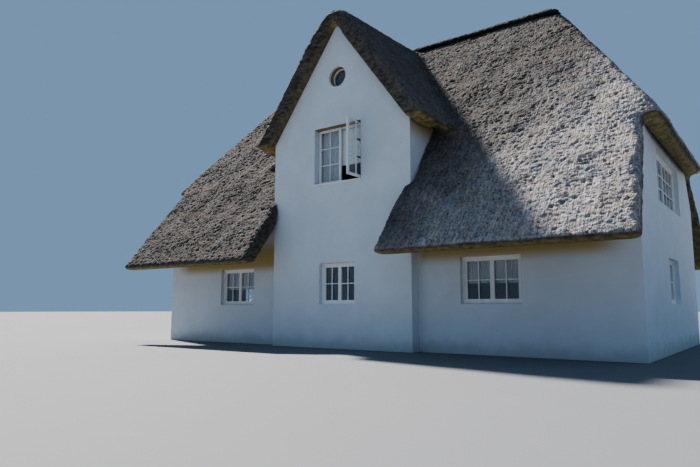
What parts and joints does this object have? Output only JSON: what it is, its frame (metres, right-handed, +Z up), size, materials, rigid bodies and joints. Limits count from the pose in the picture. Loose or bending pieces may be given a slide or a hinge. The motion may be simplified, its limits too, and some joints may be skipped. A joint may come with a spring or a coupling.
{
  "type": "thatched cottage",
  "caption": "Thatched cottage with a steep central front gable, half-hipped roof ends, deep eaves, white rendered walls and white casement windows.",
  "frame": {"origin": "centre of the plan at ground level, under the ridge and on the axis of the front gable", "axes": "+Z up, +X along the ridge to the right-hand end seen from the front, -Y towards the front gable"},
  "size_m": [14.54, 10.4166, 9.0344],
  "materials": {
    "thatch": "matte",
    "ridge_cap": "matte",
    "render": "matte",
    "stone_floor": "matte",
    "timber_floor": "matte",
    "joinery": "satin",
    "window_glass": "gloss",
    "door_paint": "satin"
  },
  "bodies": {
    "root": {"attic_floor": "timber_floor", "attic_window_left_frame": "joinery", "attic_window_left_glass": "window_glass", "attic_window_right_frame": "joinery", "attic_window_right_glass": "window_glass", "end_wall_left": "render", "end_wall_right": "render", "end_window_left_frame": "joinery", "end_window_left_glass": "window_glass", "end_window_right_frame": "joinery", "end_window_right_glass": "window_glass", "front_wall_left": "render", "front_wall_right": "render", "front_window_left_frame": "joinery", "front_window_left_glass": "window_glass", "front_window_right_frame": "joinery", "front_window_right_glass": "window_glass", "gable_cheek_left": "render", "gable_cheek_right": "render", "gable_wall": "render", "gable_window_frame": "joinery", "gable_window_glass": "window_glass", "ground_floor": "stone_floor", "rear_door": "door_paint", "rear_door_frame": "joinery", "rear_wall": "render", "rear_window_left_frame": "joinery", "rear_window_left_glass": "window_glass", "rear_window_right_frame": "joinery", "rear_window_right_glass": "window_glass", "ridge_cap": "ridge_cap", "round_window_frame": "joinery", "round_window_glass": "window_glass", "thatch_front_left": "thatch", "thatch_front_right": "thatch", "thatch_gable": "thatch", "thatch_hip_left": "thatch", "thatch_hip_right": "thatch", "thatch_rear": "thatch", "upper_glass_left": "window_glass", "upper_glass_right": "window_glass", "upper_sash_left": "joinery", "upper_sash_right": "joinery", "upper_window_frame": "joinery", "upper_window_sill": "joinery"}
  },
  "joints": []
}
